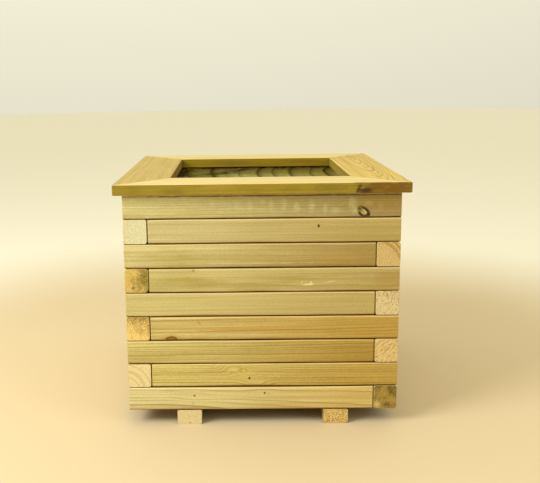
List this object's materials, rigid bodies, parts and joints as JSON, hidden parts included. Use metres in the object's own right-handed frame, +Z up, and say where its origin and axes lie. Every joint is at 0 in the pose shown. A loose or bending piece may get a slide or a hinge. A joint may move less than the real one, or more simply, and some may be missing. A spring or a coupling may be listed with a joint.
{
  "type": "square planter",
  "caption": "Square wooden garden planter of stacked, interlocking battens with a flat mitred cap frame, a slatted floor and runners underneath, open at the top for soil and plants.",
  "frame": {"origin": "on the ground under the middle of the planter", "axes": "+Z up through the open top, -Y out of the front, where the runners' sawn ends show"},
  "size_m": [0.524, 0.524, 0.452],
  "materials": {
    "wall_timber": "planed pressure-treated pine, yellow with a green tint, matt",
    "cap_timber": "planed pressure-treated pine, bright yellow, matt",
    "runner_timber": "planed pressure-treated pine, pale, matt",
    "floor_timber": "planed pressure-treated pine, green tint, matt",
    "zinc_plated_steel": "zinc plated, satin"
  },
  "bodies": {
    "root": {"cap_back_board": "cap_timber", "cap_front_board": "cap_timber", "cap_left_board": "cap_timber", "cap_nails": "zinc_plated_steel", "cap_right_board": "cap_timber", "course_1_back_batten": "wall_timber", "course_1_front_batten": "wall_timber", "course_1_left_batten": "wall_timber", "course_1_right_batten": "wall_timber", "course_2_back_batten": "wall_timber", "course_2_front_batten": "wall_timber", "course_2_left_batten": "wall_timber", "course_2_right_batten": "wall_timber", "course_3_back_batten": "wall_timber", "course_3_front_batten": "wall_timber", "course_3_left_batten": "wall_timber", "course_3_right_batten": "wall_timber", "course_4_back_batten": "wall_timber", "course_4_front_batten": "wall_timber", "course_4_left_batten": "wall_timber", "course_4_right_batten": "wall_timber", "course_5_back_batten": "wall_timber", "course_5_front_batten": "wall_timber", "course_5_left_batten": "wall_timber", "course_5_right_batten": "wall_timber", "course_6_back_batten": "wall_timber", "course_6_front_batten": "wall_timber", "course_6_left_batten": "wall_timber", "course_6_right_batten": "wall_timber", "course_7_back_batten": "wall_timber", "course_7_front_batten": "wall_timber", "course_7_left_batten": "wall_timber", "course_7_right_batten": "wall_timber", "course_8_back_batten": "wall_timber", "course_8_front_batten": "wall_timber", "course_8_left_batten": "wall_timber", "course_8_right_batten": "wall_timber", "course_9_back_rail": "wall_timber", "course_9_front_rail": "wall_timber", "course_9_left_rail": "wall_timber", "course_9_right_rail": "wall_timber", "even_course_screws": "zinc_plated_steel", "floor_screws": "zinc_plated_steel", "floor_slat_1": "floor_timber", "floor_slat_2": "floor_timber", "floor_slat_3": "floor_timber", "floor_slat_4": "floor_timber", "left_runner": "runner_timber", "odd_course_screws": "zinc_plated_steel", "right_runner": "runner_timber", "runner_screws": "zinc_plated_steel", "top_course_screws": "zinc_plated_steel"}
  },
  "joints": []
}
